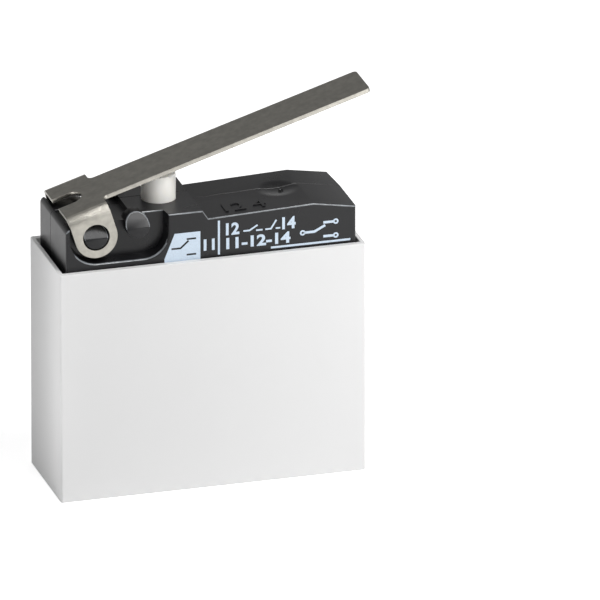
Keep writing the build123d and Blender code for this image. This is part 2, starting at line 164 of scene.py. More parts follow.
class ContactBlockColours(bpy.types.PropertyGroup):
    """Colours of the finishes, as sRGB hex values."""

    sleeve: StringProperty(
        name="Sleeve",
        description="Light grey of the moulded sleeve",
        default="#e2e2e2",
    )
    body: StringProperty(
        name="Body",
        description="Black of the moulded body",
        default="#161618",
    )
    # A lighter grey painted on the body's upward edges as a highlight
    edge_highlight: StringProperty(
        name="Rubbed edge",
        description="Grey of the body's rubbed edges",
        default="#7c8084",
    )
    ink: StringProperty(
        name="Ink",
        description="Bluish white of the printing ink",
        default="#cddceb",
    )
    plunger: StringProperty(
        name="Push pin",
        description="Natural white of the push pin",
        default="#fffdf7",
    )
    steel: StringProperty(
        name="Steel sheet",
        description="Grey of the cold rolled steel sheet",
        default="#a9a69e",
    )
    brass: StringProperty(
        name="Brass",
        description="Yellow of the terminals",
        default="#d6b46c",
    )
    bronze: StringProperty(
        name="Bronze",
        description="Reddish yellow of the contact arm and the rocker",
        default="#c98f5e",
    )
    silver: StringProperty(
        name="Silver",
        description="White of the contact rivets",
        default="#e4e2dc",
    )
    wire: StringProperty(
        name="Spring wire",
        description="Grey of the drawn spring wire",
        default="#9a9a98",
    )
    paper: StringProperty(
        name="Paper",
        description="White of the floor",
        default="#f2f2f2",
    )


class ContactBlockStage(bpy.types.PropertyGroup):
    """Camera and light."""

    camera_place: FloatVectorProperty(
        name="Camera place",
        description="Where the camera stands",
        default=(-0.35675, -1.24769, 0.53341),
        unit="LENGTH",
    )
    camera_target: FloatVectorProperty(
        name="Camera target",
        description="The point in the middle of the picture",
        default=(0.006825, -0.00061, 0.011295),
        unit="LENGTH",
    )
    lens: FloatProperty(
        name="Lens",
        description="Focal length in millimetres on a 36 mm wide sensor",
        default=1273.2,
    )
    key_power: FloatProperty(
        name="Key light",
        description="Power of the soft box that stands close at the front right",
        default=0.0172,
        unit="POWER",
    )
    key_distance: FloatProperty(
        name="Key distance",
        description="Distance of the close soft box from the part, which is its width too",
        default=0.06,
        unit="LENGTH",
    )
    top_power: FloatProperty(
        name="Top light",
        description="Power of the wide soft box high over the front, and in part of its bright core",
        default=0.148,
        unit="POWER",
    )
    strip_power: FloatProperty(
        name="Left light",
        description="Power of the narrow box close to the sleeve's left end",
        default=0.0004,
        unit="POWER",
        precision=6,
    )
    back_level: FloatProperty(
        name="Back light",
        description="How much brighter the room shines on the part from behind",
        default=1.3,
    )
    sky_level: FloatProperty(
        name="Room light",
        description="Brightness of the soft light from all round",
        default=0.25,
    )


def select_only(piece):
    """Deselects everything and then selects and activates one object."""
    bpy.ops.object.select_all(action="DESELECT")
    piece.select_set(True)
    bpy.context.view_layer.objects.active = piece


def merged_copy(node_name, piece_name, *materials):
    """A copy of a CAD node with its finishes, its loose triangles merged and its flat faces whole."""
    select_only(nodes[node_name])
    bpy.ops.object.duplicate()
    piece = bpy.context.active_object
    for key in list(piece.keys()):
        del piece[key]
    piece.name = piece_name
    piece.data.name = piece_name
    piece.data.materials.clear()
    for material in materials:
        piece.data.materials.append(material)
    bpy.ops.mesh.customdata_custom_splitnormals_clear()
    bpy.ops.object.mode_set(mode="EDIT")
    bpy.ops.mesh.select_all(action="SELECT")
    bpy.ops.mesh.remove_doubles(threshold=MERGE_DISTANCE)
    bpy.ops.mesh.dissolve_limited(angle_limit=FLAT_ANGLE)
    bpy.ops.object.mode_set(mode="OBJECT")
    return piece


def round_edges(piece, width, segments, wanted, finish=-1):
    """Rounds the sharp edges of a piece that a test says yes to, with one of its finishes."""
    select_only(piece)
    bpy.ops.object.mode_set(mode="EDIT")
    bpy.ops.mesh.select_mode(type="EDGE")
    bpy.ops.mesh.select_all(action="DESELECT")
    shape = bmesh.from_edit_mesh(piece.data)
    for edge in shape.edges:
        if len(edge.link_faces) == 2 and edge.calc_face_angle() > SHARP_ANGLE and wanted(edge):
            edge.select_set(True)
    bmesh.update_edit_mesh(piece.data)
    bpy.ops.mesh.bevel(
        offset=width, segments=segments, affect="EDGES", clamp_overlap=False, material=finish
    )
    bpy.ops.mesh.select_all(action="SELECT")
    bpy.ops.mesh.remove_doubles(threshold=MERGE_DISTANCE)
    bpy.ops.object.mode_set(mode="OBJECT")


def soften_ring(piece, middle, radius, width):
    """Rounds the ring of edges around an upright line, but not where it crosses the parting line."""
    clear_of_groove = 0.15 * MM
    select_only(piece)
    bpy.ops.object.mode_set(mode="EDIT")
    bpy.ops.mesh.select_mode(type="EDGE")
    bpy.ops.mesh.select_all(action="DESELECT")
    shape = bmesh.from_edit_mesh(piece.data)
    for edge in shape.edges:
        edge.select_set(
            all(
                corner.co.z > middle.z
                and abs(corner.co.y - parting_y) > clear_of_groove
                and abs((corner.co - middle).to_2d().length - radius) < NEAR
                for corner in edge.verts
            )
        )
    bmesh.update_edit_mesh(piece.data)
    bpy.ops.mesh.bevel(offset=width, segments=3, affect="EDGES", clamp_overlap=False)
    bpy.ops.object.mode_set(mode="OBJECT")


def finish_piece(piece, body, slot, *replaced):
    """Smooths the shading of a piece and hangs it on its body. The name of what it stands for is not
    used.
    """
    select_only(piece)
    bpy.ops.object.shade_smooth_by_angle(angle=SMOOTH_ANGLE, keep_sharp_edges=True)
    even = piece.modifiers.new("Even shading", "WEIGHTED_NORMAL")
    even.keep_sharp = True
    bpy.ops.object.modifier_apply(modifier=even.name)
    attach(piece, body)
    if replaced:
        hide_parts(*replaced)


def top_at(piece_name, x, y):
    """The highest point of a piece at x, y, and which way its face looks there."""
    bpy.context.view_layer.update()
    piece = bpy.data.objects[piece_name]
    hit, place, normal = piece.ray_cast(Vector((x, y, 1)), Vector((0, 0, -1)))[:3]
    if not hit:
        raise RuntimeError("Nothing of " + piece_name + " lies there.")
    return place, normal


def linear(hex_colour):
    """An sRGB hex colour as linear red, green, blue and alpha."""
    parts = [int(hex_colour[place : place + 2], 16) / 255 for place in (1, 3, 5)]
    curved = [part / 12.92 if part <= 0.04045 else ((part + 0.055) / 1.055) ** 2.4 for part in parts]
    return (*curved, 1)


def add_node(tree, kind, settings, inputs):
    """Adds a node with its settings, and gives each input a value, or a link from a node or socket."""
    node = tree.nodes.new(kind)
    for name, value in settings.items():
        setattr(node, name, value)
    for name, value in inputs.items():
        if isinstance(value, bpy.types.Node):
            value = [socket for socket in value.outputs if socket.enabled][0]
        if isinstance(value, bpy.types.NodeSocket):
            tree.links.new(value, node.inputs[name])
        else:
            node.inputs[name].default_value = value
    return node


def new_material(name):
    """An empty node material, with its node tree and its Object coordinates."""
    material = bpy.data.materials.new(name)
    material.use_nodes = True
    tree = material.node_tree
    tree.nodes.clear()
    place = add_node(tree, "ShaderNodeTexCoord", {}, {}).outputs["Object"]
    return material, tree, place


def mottled(tree, colour, pattern, darkest, lightest, start=0.0, end=1.0):
    """A colour that a pattern darkens where the pattern is low and lightens where it is high."""
    shade = add_node(
        tree,
        "ShaderNodeMapRange",
        {},
        {"Value": pattern, "From Min": start, "From Max": end, "To Min": darkest, "To Max": lightest},
    )
    return add_node(
        tree,
        "ShaderNodeMix",
        {"data_type": "RGBA", "blend_type": "MULTIPLY"},
        {"Factor": 1.0, 6: linear(colour), 7: shade},
    )


def abs_moulded_light(colour):
    """ABS moulded in a polished tool: an even, nearly matt light grey with a faint grain."""
    material, tree, place = new_material("abs_moulded_light")
    grain_size = 0.12 * MM
    flow_size = 6 * MM
    grain = add_node(
        tree, "ShaderNodeTexNoise", {}, {"Vector": place, "Scale": 1 / grain_size, "Detail": 3}
    )
    flow = add_node(
        tree, "ShaderNodeTexNoise", {}, {"Vector": place, "Scale": 1 / flow_size, "Detail": 2}
    )
    dull = add_node(tree, "ShaderNodeMapRange", {}, {"Value": grain, "To Min": 0.46, "To Max": 0.56})
    relief = add_node(
        tree, "ShaderNodeBump", {}, {"Height": grain, "Strength": 0.12, "Distance": 0.003 * MM}
    )
    shader = add_node(
        tree,
        "ShaderNodeBsdfPrincipled",
        {},
        {
            "Base Color": mottled(tree, colour, flow, 0.98, 1.0),
            "Roughness": dull,
            "Specular IOR Level": 0.4,
            "Normal": relief,
        },
    )
    add_node(tree, "ShaderNodeOutputMaterial", {}, {"Surface": shader})
    return material


def nylon_spark_eroded_black(colour):
    """Black nylon moulded in a spark-eroded tool: a deep grey black with a fine dry grain."""
    material, tree, place = new_material("nylon_spark_eroded_black")
    # The real grain is about 0.03 mm, drawn coarser here so that it shows
    grain_size = 0.07 * MM
    cloud_size = 1.6 * MM
    cloud = add_node(
        tree, "ShaderNodeTexNoise", {}, {"Vector": place, "Scale": 1 / cloud_size, "Detail": 4}
    )
    grain = add_node(
        tree, "ShaderNodeTexNoise", {}, {"Vector": place, "Scale": 1 / grain_size, "Detail": 2}
    )
    dull = add_node(tree, "ShaderNodeMapRange", {}, {"Value": cloud, "To Min": 0.24, "To Max": 0.34})
    relief = add_node(
        tree, "ShaderNodeBump", {}, {"Height": grain, "Strength": 0.25, "Distance": 0.004 * MM}
    )
    shader = add_node(
        tree,
        "ShaderNodeBsdfPrincipled",
        {},
        {
            "Base Color": mottled(tree, colour, cloud, 0.8, 1.2),
            "Roughness": dull,
            "Specular IOR Level": 0.35,
            "Normal": relief,
        },
    )
    add_node(tree, "ShaderNodeOutputMaterial", {}, {"Surface": shader})
    return material


def nylon_edge_painted_highlight(colour):
    """The same nylon, smoother and in a lighter grey that paints a highlight on the edges it covers."""
    material, tree, place = new_material("nylon_edge_painted_highlight")
    patch_size = 0.5 * MM
    patches = add_node(
        tree, "ShaderNodeTexNoise", {}, {"Vector": place, "Scale": 1 / patch_size, "Detail": 4}
    )
    highlight_grey = mottled(tree, colour, patches, 0.7, 1.15, start=0.35, end=0.65)
    shader = add_node(tree, "ShaderNodeBsdfPrincipled", {}, {"Base Color": highlight_grey, "Roughness": 0.22})
    add_node(tree, "ShaderNodeOutputMaterial", {}, {"Surface": shader})
    return material


def pad_print_ink(colour):
    """Pad printing ink: a thin, slightly uneven bluish white film."""
    material, tree, place = new_material("pad_print_ink")
    speck_size = 0.08 * MM
    specks = add_node(
        tree, "ShaderNodeTexNoise", {}, {"Vector": place, "Scale": 1 / speck_size, "Detail": 4}
    )
    film = mottled(tree, colour, specks, 0.88, 1.0, start=0.3, end=0.55)
    shader = add_node(tree, "ShaderNodeBsdfPrincipled", {}, {"Base Color": film, "Roughness": 0.5})
    add_node(tree, "ShaderNodeOutputMaterial", {}, {"Surface": shader})
    return material


def acetal_natural(colour):
    """Natural acetal, moulded and smooth: a milky white that light sinks into."""
    material, tree, place = new_material("acetal_natural")
    flow_size = 0.9 * MM
    flow = add_node(
        tree, "ShaderNodeTexNoise", {}, {"Vector": place, "Scale": 1 / flow_size, "Detail": 2}
    )
    dull = add_node(tree, "ShaderNodeMapRange", {}, {"Value": flow, "To Min": 0.26, "To Max": 0.34})
    shader = add_node(
        tree,
        "ShaderNodeBsdfPrincipled",
        {},
        {
            "Base Color": mottled(tree, colour, flow, 0.95, 1.0),
            "Roughness": dull,
            "Subsurface Weight": 0.12,
            "Subsurface Radius": (1.0, 0.9, 0.7),
            "Subsurface Scale": 0.3 * MM,
        },
    )
    add_node(tree, "ShaderNodeOutputMaterial", {}, {"Surface": shader})
    return material


def steel_cold_rolled(colour, slope):
    """Cold rolled stainless sheet: a dull grey with fine lines along the strip, and a bright
    grainy band where the fold to the ears has stretched its skin."""
    material, tree, place = new_material("steel_cold_rolled")
    # The real rolling lines are about 0.01 mm apart, drawn coarser here so that they show
    line_pitch = 0.05 * MM
    line_length = 3 * MM
    mottle_size = 0.45 * MM
    crystal_size = 0.055 * MM
    band_height = 1.3 * MM
    band_blend = 0.12 * MM
    fold_start = fold_y + 0.2 * MM
    fold_blend = 0.1 * MM
    along = add_node(
        tree,
        "ShaderNodeMapping",
        {"vector_type": "TEXTURE"},
        {"Vector": place, "Location": pivot, "Rotation": (0, -slope, 0)},
    )
    stretched = add_node(
        tree,
        "ShaderNodeVectorMath",
        {"operation": "MULTIPLY"},
        {0: along, 1: (1 / line_length, 1 / line_pitch, 1 / line_pitch)},
    )
    lines = add_node(tree, "ShaderNodeTexNoise", {}, {"Vector": stretched, "Scale": 1, "Detail": 2})
    mottle = add_node(
        tree, "ShaderNodeTexNoise", {}, {"Vector": place, "Scale": 1 / mottle_size, "Detail": 3}
    )

    # The stretched skin lies above the flat of each ear and past the start of the fold
    axes = add_node(tree, "ShaderNodeSeparateXYZ", {}, {"Vector": along})
    out = add_node(tree, "ShaderNodeMath", {"operation": "ABSOLUTE"}, {0: axes.outputs["Y"]})
    above_ear = add_node(
        tree,
        "ShaderNodeMapRange",
        {"interpolation_type": "SMOOTHSTEP"},
        {"Value": axes.outputs["Z"], "From Min": band_height, "From Max": band_height + band_blend},
    )
    past_fold = add_node(
        tree,
        "ShaderNodeMapRange",
        {"interpolation_type": "SMOOTHSTEP"},
        {"Value": out, "From Min": fold_start, "From Max": fold_start + fold_blend},
    )
    band = add_node(tree, "ShaderNodeMath", {"operation": "MULTIPLY"}, {0: above_ear, 1: past_fold})
    crystals = add_node(tree, "ShaderNodeTexVoronoi", {}, {"Vector": place, "Scale": 1 / crystal_size})
    grains = add_node(tree, "ShaderNodeMath", {"operation": "MULTIPLY"}, {0: band, 1: crystals})

    streaks = add_node(tree, "ShaderNodeMapRange", {}, {"Value": lines, "To Min": 0.95, "To Max": 1.05})
    blotches = add_node(
        tree,
        "ShaderNodeMapRange",
        {},
        {"Value": mottle, "From Min": 0.3, "From Max": 0.7, "To Min": 0.86, "To Max": 1.1},
    )
    shade = add_node(tree, "ShaderNodeMath", {"operation": "MULTIPLY"}, {0: streaks, 1: blotches})
    skin = add_node(
        tree,
        "ShaderNodeMix",
        {"data_type": "RGBA", "blend_type": "MULTIPLY"},
        {"Factor": 1.0, 6: linear(colour), 7: shade},
    )
    dull = add_node(tree, "ShaderNodeMapRange", {}, {"Value": lines, "To Min": 0.26, "To Max": 0.34})
    rolled = add_node(
        tree, "ShaderNodeBump", {}, {"Height": lines, "Strength": 0.25, "Distance": 0.004 * MM}
    )
    relief = add_node(
        tree,
        "ShaderNodeBump",
        {},
        {"Height": grains, "Strength": 1.0, "Distance": 0.018 * MM, "Normal": rolled},
    )
    shader = add_node(
        tree,
        "ShaderNodeBsdfPrincipled",
        {},
        {"Base Color": skin, "Metallic": 1.0, "Roughness": dull, "Normal": relief},
    )
    add_node(tree, "ShaderNodeOutputMaterial", {}, {"Surface": shader})
    return material


def strip_metal(name, colour, roughness, line_pitch):
    """Rolled or drawn metal of the hidden pieces: its own colour under fine rolling lines."""
    material, tree, place = new_material(name)
    line_length = 20 * line_pitch
    stretched = add_node(
        tree,
        "ShaderNodeVectorMath",
        {"operation": "MULTIPLY"},
        {0: place, 1: (1 / line_pitch, 1 / line_pitch, 1 / line_length)},
    )
    lines = add_node(tree, "ShaderNodeTexNoise", {}, {"Vector": stretched, "Scale": 1, "Detail": 2})
    relief = add_node(
        tree, "ShaderNodeBump", {}, {"Height": lines, "Strength": 0.15, "Distance": 0.003 * MM}
    )
    shader = add_node(
        tree,
        "ShaderNodeBsdfPrincipled",
        {},
        {
            "Base Color": mottled(tree, colour, lines, 0.9, 1.05),
            "Metallic": 1.0,
            "Roughness": roughness,
            "Normal": relief,
        },
    )
    add_node(tree, "ShaderNodeOutputMaterial", {}, {"Surface": shader})
    return material


class OBJECT_OT_contact_block_sleeve(bpy.types.Operator):
    """Makes the light sleeve with rounded rims"""

    bl_idname = "object.contact_block_sleeve"
    bl_label = "Sleeve"

    def execute(self, context):
        sizes = context.scene.contact_block_sizes
        colours = context.scene.contact_block_colours
        material = abs_moulded_light(colours.sleeve)
        piece = merged_copy("terminal_sleeve", "sleeve_shell", material)
        ends = (sleeve_low.z, sleeve_high.z)
        round_edges(
            piece,
            sizes.sleeve_rounding,
            segments=3,
            wanted=lambda edge: any(
                all(abs(corner.co.z - end) < MERGE_DISTANCE for corner in edge.verts) for end in ends
            ),
        )
        finish_piece(piece, "housing", "sleeve_plastic", "terminal_sleeve")
        return {"FINISHED"}


def on_boss_end(place):
    """Whether a point lies on the end of one of the bosses, clear of the recess behind it."""
    clear = 0.05 * MM
    if not recess_floor_y + clear <= abs(place.y) <= abs(front_y) - clear:
        return False
    return any((place - middle).xz.length < boss_radius for middle in (pivot, spare_boss))


def on_recess_top(place):
    """Whether a point lies on the top edge of the recess floor, right of the lever's pivot."""
    above_ear = pivot.z + 0.6 * MM
    on_floor = abs(abs(place.y) - recess_floor_y) < NEAR
    return on_floor and place.z > above_ear and place.x > pivot.x


def steepen_back_bosses(piece):
    """Shortens the lead-in ramps of the back bosses, so that less light shows through the lever."""
    share_left = 0.25
    select_only(piece)
    bpy.ops.object.mode_set(mode="EDIT")
    bpy.ops.mesh.select_mode(type="VERT")
    bpy.ops.mesh.select_all(action="DESELECT")
    shape = bmesh.from_edit_mesh(piece.data)
    for corner in shape.verts:
        corner.select_set(on_boss_end(corner.co))
    bmesh.update_edit_mesh(piece.data)
    boss_end = (0, cover_high.y - 0.08 * MM, 0)
    bpy.ops.transform.resize(value=(1, share_left, 1), center_override=boss_end)
    bpy.ops.object.mode_set(mode="OBJECT")


def paint_rim_highlight(piece, face_y, lowest):
    """Gives the edges of the outer rim that look upwards the lighter grey of a painted highlight, and
    none that look sideways or down.
    """
    rim_depth = 0.1 * MM
    lowest_rise = 0.25
    for face in piece.data.polygons:
        corners = [piece.data.vertices[corner].co for corner in face.vertices]
        on_rim = all(abs(corner.y) > abs(face_y) - rim_depth for corner in corners)
        if face.normal.z < lowest_rise:
            face.material_index = GRAINED
        elif on_rim and face.normal.z < FACING and corners[0].z > lowest:
            face.material_index = PAINTED_HIGHLIGHT


class OBJECT_OT_contact_block_body(bpy.types.Operator):
    """Makes the two halves of the black body with rounded lips and bosses"""

    bl_idname = "object.contact_block_body"
    bl_label = "Body"

    def execute(self, context):
        sizes = context.scene.contact_block_sizes
        colours = context.scene.contact_block_colours
        grained = nylon_spark_eroded_black(colours.body)
        # Second finish: a lighter grey painted on the upward edges as a highlight
        edge_highlight = nylon_edge_painted_highlight(colours.edge_highlight)
        seen_above = rim_z - 1 * MM
        thin_wall_x = case_low.x + 0.45 * MM
        short_edge = 0.3 * MM
        for node_name, piece_name, face_y in (
            ("switch_case", "case_moulding", case_low.y),
            ("switch_cover", "cover_moulding", cover_high.y),
        ):
            piece = merged_copy(node_name, piece_name, grained, edge_highlight)
            if piece_name == "cover_moulding":
                steepen_back_bosses(piece)
            round_edges(
                piece,
                sizes.parting_bevel,
                segments=1,
                wanted=lambda edge: (
                    all(abs(corner.co.y - parting_y) < MERGE_DISTANCE for corner in edge.verts)
                    and any(corner.co.z > seen_above for corner in edge.verts)
                ),
            )
            round_edges(
                piece,
                sizes.boss_rounding,
                segments=2,
                wanted=lambda edge: all(on_recess_top(corner.co) for corner in edge.verts),
                finish=PAINTED_HIGHLIGHT,
            )
            round_edges(
                piece,
                sizes.boss_rounding,
                segments=2,
                wanted=lambda edge: (
                    edge.calc_length() < short_edge
                    and all(on_boss_end(corner.co) for corner in edge.verts)
                ),
                finish=PAINTED_HIGHLIGHT,
            )
            round_edges(
                piece,
                sizes.lip_rounding,
                segments=3,
                wanted=lambda edge: all(
                    abs(corner.co.y - face_y) < MERGE_DISTANCE
                    and corner.co.z > seen_above
                    and corner.co.x > thin_wall_x
                    for corner in edge.verts
                ),
                finish=PAINTED_HIGHLIGHT,
            )
            soften_ring(piece, gate, gate_radius, sizes.dish_rounding)
            paint_rim_highlight(piece, face_y, seen_above)
            finish_piece(piece, "housing", "black_moulding", node_name)
        return {"FINISHED"}


class OBJECT_OT_contact_block_lever(bpy.types.Operator):
    """Makes the folded steel lever with tumbled edges"""

    bl_idname = "object.contact_block_lever"
    bl_label = "Lever"

    def execute(self, context):
        sizes = context.scene.contact_block_sizes
        colours = context.scene.contact_block_colours
        piece = merged_copy("actuating_lever", "folded_lever")
        normal = top_at("folded_lever", 0.5 * lever_high.x, 0)[1]
        round_edges(piece, sizes.lever_rounding, segments=2, wanted=lambda edge: True)
        piece.data.materials.append(steel_cold_rolled(colours.steel, atan2(-normal.x, normal.z)))
        finish_piece(piece, "lever", "stainless_sheet", "actuating_lever")
        return {"FINISHED"}


class OBJECT_OT_contact_block_plunger(bpy.types.Operator):
    """Makes the push pin with a rounded rim"""

    bl_idname = "object.contact_block_plunger"
    bl_label = "Push Pin"

    def execute(self, context):
        sizes = context.scene.contact_block_sizes
        colours = context.scene.contact_block_colours
        piece = merged_copy("plunger", "push_pin_moulding", acetal_natural(colours.plunger))
        dome_low = plunger_high.z - 1.2 * MM
        round_edges(
            piece,
            sizes.plunger_rounding,
            segments=3,
            wanted=lambda edge: all(corner.co.z > dome_low for corner in edge.verts),
        )
        finish_piece(piece, "push_pin", "ivory_plastic", "plunger")
        return {"FINISHED"}


def ink_plate(name, corners, thickness):
    """A thin printed field with the given outline, in millimetres from the middle of the rim."""
    bpy.ops.object.select_all(action="DESELECT")
    bpy.ops.mesh.primitive_circle_add(vertices=len(corners), radius=MM, fill_type="NGON")
    plate = bpy.context.active_object
    plate.name = name
    for corner, (x, z) in zip(plate.data.vertices, corners):
        corner.co = Vector((x * MM, front_y + PRINT_ROOT, rim_z + z * MM))
    bpy.ops.object.mode_set(mode="EDIT")
    bpy.ops.mesh.select_all(action="SELECT")
    bpy.ops.mesh.extrude_region_move(TRANSFORM_OT_translate={"value": (0, -thickness - PRINT_ROOT, 0)})
    bpy.ops.mesh.select_all(action="SELECT")
    bpy.ops.mesh.normals_make_consistent(inside=False)
    bpy.ops.object.mode_set(mode="OBJECT")
    return plate


def ink_path(name, points, width, thickness):
    """A printed line through some points, with mitred corners and square ends."""
    sharpest_mitre = 0.3
    points = [Vector(point) for point in points]
    half = 0.5 * width / MM
    ways = [(last - first).normalized() for first, last in zip(points, points[1:])]
    points[0] -= ways[0] * half
    points[-1] += ways[-1] * half
    left_side = []
    right_side = []
    for point, before, after in zip(points, ways[:1] + ways, ways + ways[-1:]):
        across = (Vector((-before.y, before.x)) + Vector((-after.y, after.x))).normalized()
        reach = half / max(sharpest_mitre, across.dot(Vector((-before.y, before.x))))
        left_side.append(point + across * reach)
        right_side.append(point - across * reach)
    corners = left_side + right_side[::-1]
    return ink_plate(name, [tuple(corner) for corner in corners], thickness)


def ink_ring(name, middle, radius, width, thickness):
    """A printed ring around a middle point, given in millimetres from the middle of the rim."""
    place = (middle[0] * MM, front_y + 0.5 * (PRINT_ROOT - thickness), rim_z + middle[1] * MM)
    bpy.ops.object.select_all(action="DESELECT")
    bpy.ops.mesh.primitive_cylinder_add(
        vertices=28,
        radius=radius,
        depth=thickness + PRINT_ROOT,
        location=place,
        rotation=(pi / 2, 0, 0),
    )
    ring = bpy.context.active_object
    ring.name = name
    bpy.ops.object.transform_apply(location=True, rotation=True, scale=True)
    bpy.ops.object.mode_set(mode="EDIT")
    bpy.ops.mesh.select_mode(type="FACE")
    bpy.ops.mesh.select_all(action="DESELECT")
    shape = bmesh.from_edit_mesh(ring.data)
    for face in shape.faces:
        face.select_set(abs(face.normal.y) > FACING)
    bmesh.update_edit_mesh(ring.data)
    bpy.ops.mesh.inset(thickness=width, use_individual=True)
    bpy.ops.mesh.bridge_edge_loops()
    bpy.ops.object.mode_set(mode="OBJECT")
    return ring


def numeral(name, digits, left, low, width, height, depth, weight):
    """Digits as a closed solid, fitted to a field given in metres and lying in the X, Y plane."""
    bpy.ops.object.select_all(action="DESELECT")
    bpy.ops.object.text_add(location=(0, 0, 0))
    text = bpy.context.active_object
    text.name = name
    text.data.body = digits
    text.data.size = height
    text.data.offset = weight
    text.data.extrude = 0.5 * depth
    text.data.resolution_u = 4
    bpy.ops.object.convert(target="MESH")
    piece = bpy.context.active_object
    spans = [[corner.co[axis] for corner in piece.data.vertices] for axis in (0, 1)]
    lows = [min(span) for span in spans]
    highs = [max(span) for span in spans]
    piece.scale = (width / (highs[0] - lows[0]), height / (highs[1] - lows[1]), 1)
    piece.location = (left - lows[0] * piece.scale[0], low - lows[1] * piece.scale[1], 0)
    bpy.ops.object.transform_apply(location=True, rotation=True, scale=True)
    bpy.ops.object.mode_set(mode="EDIT")
    bpy.ops.mesh.select_all(action="SELECT")
    bpy.ops.mesh.remove_doubles(threshold=0.1 * MERGE_DISTANCE)
    bpy.ops.mesh.normals_make_consistent(inside=False)
    bpy.ops.object.mode_set(mode="OBJECT")
    return piece


def ink_digits(name, digits, left, low, width, height, thickness):
    """Printed digits in a field given in millimetres from the middle of the rim."""
    depth = thickness + PRINT_ROOT
    extra_weight = 0.035 * height * MM
    piece = numeral(name, digits, left * MM, low * MM, width * MM, height * MM, depth, extra_weight)
    piece.rotation_euler = (pi / 2, 0, 0)
    piece.location = (0, front_y + 0.5 * (PRINT_ROOT - thickness), rim_z)
    bpy.ops.object.transform_apply(location=True, rotation=True, scale=True)
    return piece


def joined(name, pieces):
    """Several objects as one piece."""
    select_only(pieces[0])
    for piece in pieces:
        piece.select_set(True)
    bpy.ops.object.join()
    whole = bpy.context.active_object
    whole.name = name
    whole.data.name = name
    return whole


class OBJECT_OT_contact_block_print(bpy.types.Operator):
    """Prints a plain field, contact signs and terminal numbers on the front"""

    bl_idname = "object.contact_block_print"
    bl_label = "Print"

    def execute(self, context):
        sizes = context.scene.contact_block_sizes
        colours = context.scene.contact_block_colours
        thickness = sizes.print_thickness
        width = sizes.stroke_width
        rule_width = 1.1 * width
        thin_width = 0.85 * width
        thick_width = 1.3 * width
        ring_radius = 0.19 * MM
        ring_width = 0.11 * MM
        field = ink_plate(
            "printed_field",
            ((-2.5, 1.92), (-3.2, 0.2), (-3.2, -0.6), (-0.75, -0.6), (-0.75, 1.92)),
            thickness,
        )
        signs = (
            ((-2.66, 0.86), (-2.1, 0.86), (-1.6, 1.3)),
            ((-1.62, 1.46), (-1.1, 1.46)),
            ((-1.62, 0.36), (-1.1, 0.36)),
        )
        cutters = [ink_path("gap", points, width, 3 * thickness) for points in signs]
        cutter = joined("gaps", cutters)
        # The cutter has to pass through both sides of the field
        for corner in cutter.data.vertices:
            corner.co.y += thickness if corner.co.y > front_y else 0
        select_only(field)
        cut = field.modifiers.new("Sign", "BOOLEAN")
        cut.operation = "DIFFERENCE"
        cut.object = cutter
        bpy.ops.object.modifier_apply(modifier=cut.name)
        bpy.data.objects.remove(cutter)
        pieces = [
            field,
            ink_path("upright", ((0.52, 0.2), (0.52, 2.45)), rule_width, thickness),
            ink_path("underline", ((4.15, 0.22), (9.45, 0.22)), rule_width, thickness),
        ]
        for points in (
            ((2.25, 1.6), (2.62, 1.6), (3.12, 1.9)),
            ((3.12, 1.56), (3.45, 1.56)),
            ((3.75, 1.56), (4.08, 1.56), (4.42, 2.1)),
            ((4.46, 1.56), (4.66, 1.56)),
        ):
            pieces.append(ink_path("contact_sign", points, thin_width, thickness))
        for points in (
            ((6.42, 1.02), (7.05, 1.02), (7.72, 1.36)),
            ((7.75, 1.6), (8.3, 1.6)),
            ((7.75, 0.62), (8.3, 0.62)),
        ):
            pieces.append(ink_path("changeover_sign", points, thick_width, thickness))
        for middle in ((6.25, 1.02), (8.52, 1.6), (8.52, 0.62)):
            pieces.append(ink_ring("terminal_sign", middle, ring_radius, ring_width, thickness))
        for digits, left, low, span, height in (
            ("11", -0.52, 0.5, 0.75, 0.8),
            ("12", 1.0, 1.42, 0.92, 0.86),
            ("14", 4.85, 1.42, 0.92, 0.86),
            ("11-12-14", 1.02, 0.44, 4.4, 0.8),
        ):
            pieces.append(ink_digits("digits", digits, left, low, span, height, thickness))
        piece = joined("front_print", pieces)
        piece.data.materials.append(pad_print_ink(colours.ink))
        finish_piece(piece, "housing", "printing_ink")
        return {"FINISHED"}


